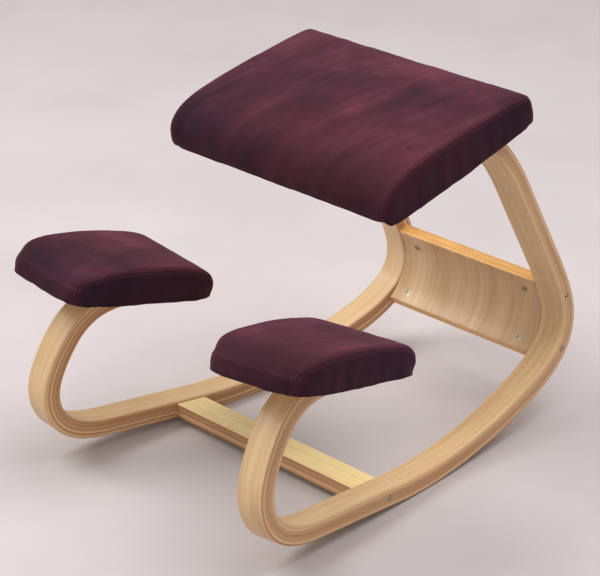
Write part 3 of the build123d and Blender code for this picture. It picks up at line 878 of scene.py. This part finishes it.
def build_cushion(name, half_w, outline, edge_r, crown, origin, A, B, C, hem, seed, mat, cad, voxel=0.005,
                  sim=True, cap=0.006, wrinkle=0.0009, flip=False, board=(0.216, 0.150), corners=(0.012, 0.012), drop=0.0, board_r=0.0225):
    verts, faces, prof = cushion_start(half_w, outline, edge_r, corners)
    ob = new_object(name, verts, faces)
    me = ob.data
    bm = bmesh.new()
    bm.from_mesh(me)
    bmesh.ops.recalc_face_normals(bm, faces=bm.faces)
    bm.to_mesh(me)
    bm.free()
    # crowned top: the middle stands higher than the sewn edges
    co = coords(me)
    top_c = prof[:, 1].max()
    bmid, blen = (prof[:, 0].max() + prof[:, 0].min()) / 2, (prof[:, 0].max() - prof[:, 0].min()) / 2
    fx = 1 - np.clip(np.abs(co[:, 0]) / half_w, 0, 1) ** 2.4
    fb = 1 - np.clip(np.abs(co[:, 1] - bmid) / blen, 0, 1) ** 2.2
    up = np.clip(co[:, 2] / top_c, 0, 1) ** 2
    co[:, 2] += crown * fx * fb * up
    set_coords(me, co)
    # one even skin
    rm = ob.modifiers.new("skin", "REMESH")
    rm.mode, rm.voxel_size, rm.use_smooth_shade = "VOXEL", voxel, True
    bpy.context.view_layer.update()
    skin = bpy.data.meshes.new_from_object(ob.evaluated_get(bpy.context.evaluated_depsgraph_get()))
    ob.modifiers.clear()
    ob.data = me = skin
    rest = coords(me)
    if sim:
        # the sewn edges and the hem are held; the panels between them fill out
        pins = ob.vertex_groups.new(name="held")
        edge = np.abs(np.abs(rest[:, 0]) - (half_w - edge_r * 0.35)) < 0.006
        low = rest[:, 2] < 0.004
        hold = edge | low
        pins.add([int(i) for i in np.nonzero(hold)[0]], 1.0, "REPLACE")
        cl = ob.modifiers.new("cloth", "CLOTH")
        cs = cl.settings
        cs.quality = 5
        cs.mass = 0.25
        cs.tension_stiffness = cs.compression_stiffness = 18
        cs.shear_stiffness = 8
        cs.bending_stiffness = 1.2
        cs.use_pressure = True
        cs.uniform_pressure_force = 4.0
        cs.vertex_group_mass = "held"
        cs.effector_weights.gravity = 0.0
        cl.collision_settings.use_collision = False
        cl.point_cache.frame_start, cl.point_cache.frame_end = 1, 20
        for fr in range(1, 21):
            scene.frame_set(fr)
        dg = bpy.context.evaluated_depsgraph_get()
        moved = np.zeros(len(me.vertices) * 3)
        ev = ob.evaluated_get(dg)
        ev.data.vertices.foreach_get("co", moved)
        moved = moved.reshape(-1, 3)
        ob.modifiers.clear()
        scene.frame_set(1)
        delta = moved - rest
        ln = np.linalg.norm(delta, axis=1)
        print(name, "verts", len(rest), "cloth moved up to %.1f mm, mean %.2f mm" % (ln.max() * 1000, ln.mean() * 1000))
        k = np.where(ln > cap, cap * (1 + np.tanh((ln - cap) / cap) * 0.25) / np.maximum(ln, 1e-9), 1.0)
        k *= smoothstep(0.010, 0.026, rest[:, 2])      # the board holds the lower edge
        set_coords(me, rest + delta * k[:, None])
    sub = ob.modifiers.new("sub", "SUBSURF")
    sub.levels = sub.render_levels = 1
    bpy.context.view_layer.update()
    fine = bpy.data.meshes.new_from_object(ob.evaluated_get(bpy.context.evaluated_depsgraph_get()))
    ob.modifiers.clear()
    ob.vertex_groups.clear()
    ob.data = me = fine
    me.polygons.foreach_set("use_smooth", [True] * len(me.polygons))
    co = coords(me)
    rest_c = co[:, 2].copy()
    nr = np.zeros(len(me.vertices) * 3)
    me.vertices.foreach_get("normal", nr)
    nr = nr.reshape(-1, 3)
    # seams: a shallow valley where the top panel meets each side panel, down the front corner too
    side_n = np.abs(nr[:, 0])
    fine_prof = closed_spline(outline, 700)
    ring = inset(fine_prof, edge_r * 0.35)
    ring = ring[ring[:, 1] > 0.002]
    blo, bhi = min(p[0] for p in outline) + 0.29 * corners[0], max(p[0] for p in outline) - 0.29 * corners[1]
    seam_pts = []
    for sg in (-1, 1):
        for p in ring:
            sb = min(max(p[0], blo), bhi)        # down the middle of the corner, not round it
            seam_pts.append(np.array([sg * (half_w - edge_r * 0.30) * plan_width(sb, half_w, outline, corners) / half_w, sb, p[1]]))
    kd = KDTree(len(seam_pts))
    for i, p in enumerate(seam_pts):
        kd.insert(p, i)
    kd.balance()
    seam_near = np.array([kd.find(p)[2] for p in co])
    co += nr * (-0.0009 * np.exp(-(seam_near / 0.0036) ** 2))[:, None]
    # soft creases running with the pull of the cloth, mostly over the middle of the top
    tops = smoothstep(0.5, 0.9, nr[:, 2])
    cr = np.zeros(len(co))
    for j, p in enumerate(co):
        if tops[j] > 0.01:
            q = Vector(((p[0] * 26.0 - p[1] * 7.0) + seed * 3, p[1] * 4.5 + p[0] * 1.5, seed))
            w = noise.noise(q)
            cr[j] = (0.5 - abs(w)) * 1.2 + 0.6 * noise.noise(q * 2.1)
    co += nr * (wrinkle * tops * cr)[:, None]
    # gathers on the side panels, from the staples
    sides = smoothstep(0.6, 0.95, side_n) + smoothstep(0.5, 0.9, -nr[:, 1])
    ga = np.array([noise.noise(Vector((p[1] * 55 + p[0] * 30, p[2] * 9, seed + 4))) for p in co])
    lowf = 1 - smoothstep(0.004, 0.04, co[:, 2])
    co += nr * (0.0011 * sides * ga * (0.35 + lowf))[:, None]
    # the folded hem: uneven lower edge; the hem lies under the board, and inside it the board is bare
    hemw = np.array([noise.noise(Vector((p[0] * 16 + seed, p[1] * 16, 2.0))) + 0.5 * noise.noise(Vector((p[0] * 47, p[1] * 47 + seed, 5.0))) for p in co])
    hx, hy = hem
    bx, by = board
    din = np.minimum(bx - np.abs(co[:, 0]), by - np.abs(co[:, 1]))   # from the board's edge inward
    rim = (1 - smoothstep(-0.002, 0.016, co[:, 2])) * (1 - smoothstep(0.002, 0.014, din))
    co[:, 2] += rim * (0.0021 * hemw - 0.0008)
    slack = (1 - smoothstep(-0.002, 0.024, co[:, 2])) * (1 - smoothstep(0.001, 0.013, bx - np.abs(co[:, 0])))
    co[:, 2] -= drop * slack * (1 - smoothstep(-0.02, 0.13, co[:, 1])) * smoothstep(-0.158, -0.145, co[:, 1])
    hb = np.where(bx - np.abs(co[:, 0]) < by - np.abs(co[:, 1]), hx, hy)
    ragged = np.array([0.0009 * noise.noise(Vector((p[0] * 60, p[1] * 60, seed))) for p in co])
    inside = smoothstep(-0.0020, 0.0020, din - hb + ragged)
    wgt = smoothstep(0.001, 0.010, din) * (rest_c < 0.004)
    target = -0.0024 + 0.0060 * inside + 0.0003 * hemw
    co[:, 2] = co[:, 2] * (1 - wgt) + target * wgt
    set_coords(me, co)
    # the cloth is drawn tight round the board's edge, and never inside it
    for _ in range(2):
        q = np.abs(co[:, :2]) - (np.array(board) - board_r)
        qp = np.maximum(q, 0)
        out = np.linalg.norm(qp, axis=1)
        sdf = out + np.minimum(np.maximum(q[:, 0], q[:, 1]), 0) - board_r
        g = np.where((out > 1e-9)[:, None], qp / np.maximum(out, 1e-9)[:, None],
                     np.where((q[:, 0] > q[:, 1])[:, None], [1.0, 0.0], [0.0, 1.0]))
        g *= np.sign(co[:, :2])
        band = (1 - smoothstep(0.013, 0.024, co[:, 2])) * ((np.abs(nr[:, 2]) < 0.8) | (sdf > -0.004)) * (sdf > -0.012) * (rest_c > -0.0025)
        push = np.maximum(0.0017 - sdf, 0) * band
        co[:, :2] += g * push[:, None]
    set_coords(me, co)
    # coordinates for the material
    hem_d = np.where(co[:, 2] < 0.012, np.abs(co[:, 2] + 0.001), 1.0)
    vector_attribute(me, "cloth", co)
    # the side-panel mask and the hem distance also steer painted shade in the suede
    vector_attribute(me, "sewn", np.c_[np.minimum(seam_near, 1.0), np.clip(smoothstep(0.55, 0.75, side_n), 0, 1), np.minimum(hem_d, 1.0)])
    # into the frame
    wc = origin + np.outer(co[:, 0], A) + np.outer(co[:, 1], B) + np.outer(co[:, 2], C)
    set_coords(me, wc)
    if flip:
        me.flip_normals()
    me.materials.clear()
    me.materials.append(mat)
    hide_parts(*cad)
    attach(ob, "root")
    seam_ridges(name, me, seam_pts, len(ring), origin, A, B, C, half_w, mat)
    return ob


run_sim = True
SEAT_OUT = [(-0.1525, -0.0020), (-0.1560, 0.004), (-0.1565, 0.016), (-0.150, 0.033), (-0.131, 0.048), (-0.100, 0.0560), (-0.060, 0.0580),
            (-0.020, 0.0575), (0.030, 0.0555), (0.080, 0.0525), (0.118, 0.0500), (0.142, 0.0462), (0.1545, 0.038), (0.1585, 0.025), (0.1590, 0.012),
            (0.1580, 0.003), (0.1540, -0.0030), (0.136, -0.004), (0.060, -0.004), (0.0, -0.004), (-0.060, -0.004), (-0.130, -0.0035)]
seat = build_cushion("seat_cushion", 0.2202, SEAT_OUT, 0.009, 0.0020, SEAT_C, SEAT_A, SEAT_B, SEAT_N,
                     (0.017, 0.026), 1.7, mat_seat, ("seat_cover", "seat_foam"), sim=run_sim, cap=0.004,
                     board=(0.2175, 0.1525), corners=(0.009, 0.011), drop=0.0062)
PAD_OUT = [(-0.1300, -0.0035), (-0.1325, 0.004), (-0.1318, 0.012), (-0.1265, 0.0225), (-0.114, 0.0340), (-0.096, 0.0415), (-0.074, 0.0465),
           (-0.040, 0.0495), (0.000, 0.0508), (0.036, 0.0500), (0.074, 0.0472), (0.100, 0.0425), (0.1165, 0.0345), (0.1270, 0.023), (0.1310, 0.010),
           (0.1300, -0.0035), (0.110, -0.004), (0.060, -0.004), (0.0, -0.004), (-0.060, -0.004), (-0.110, -0.004)]
for side, sg, mat, sd in (("right", 1.0, mat_pad_r, 5.1), ("left", -1.0, mat_pad_l, 9.4)):
    fl = np.array([sg, 1, 1])
    pad = build_cushion(side + "_pad_cushion", 0.0855, PAD_OUT, 0.010, 0.001, PAD_C * fl, N * fl, PAD_B * fl, PAD_N * fl,
                        (0.026, 0.024), sd, mat, (side + "_pad_cover", side + "_pad_foam"), sim=run_sim, cap=0.004,
                        wrinkle=0.0006, flip=(sg < 0), board=(0.0835, 0.1295), corners=(0.044, 0.020), board_r=0.0325)


# ------------------------------------------------------------------ floor and light
def stage_floor():
    n = 24
    verts = [(-7 + 14 * i / n, -7 + 14 * j / n, 0.0) for j in range(n + 1) for i in range(n + 1)]
    faces = [(j * (n + 1) + i, j * (n + 1) + i + 1, (j + 1) * (n + 1) + i + 1, (j + 1) * (n + 1) + i) for j in range(n) for i in range(n)]
    ob = new_object("floor", verts, faces)
    m, nt, bsdf = material("floor_paper")
    k = Net(nt)
    f = k.noise(position(k), 3.0, 4.0, 0.55)
    k.put(bsdf.inputs["Base Color"], k.ramp(f, [(0.3, lin(196, 189, 191)), (0.7, lin(188, 181, 183))]))
    bsdf.inputs["Roughness"].default_value = 0.85
    ob.data.materials.append(m)
    return ob


stage_floor()


def area(name, loc, target, size, power, color):
    ld = bpy.data.lights.new(name, "AREA")
    ld.shape = "RECTANGLE"
    ld.size, ld.size_y = size
    ld.energy = power
    ld.color = color
    ob = bpy.data.objects.new(name, ld)
    scene.collection.objects.link(ob)
    ob.location = loc
    ob.rotation_euler = (Vector(target) - Vector(loc)).to_track_quat("-Z", "Y").to_euler()
    return ob


area("key", (-2.1, -1.7, 3.3), (0, 0, 0.25), (2.2, 2.2), 108, (1.0, 0.98, 0.94))
area("fill", (2.2, -2.8, 1.9), (0, 0, 0.25), (2.4, 2.4), 22, (1.0, 0.975, 0.95))
area("top", (0.5, 1.0, 3.6), (0, 0, 0.2), (3.0, 3.0), 92, (1.0, 0.985, 0.96))
world = bpy.data.worlds.new("studio")
world.use_nodes = True
bg = world.node_tree.nodes.get("Background") or world.node_tree.nodes.new("ShaderNodeBackground")
bg.inputs[0].default_value = (1.0, 0.955, 0.92, 1)
bg.inputs[1].default_value = 0.5
scene.world = world
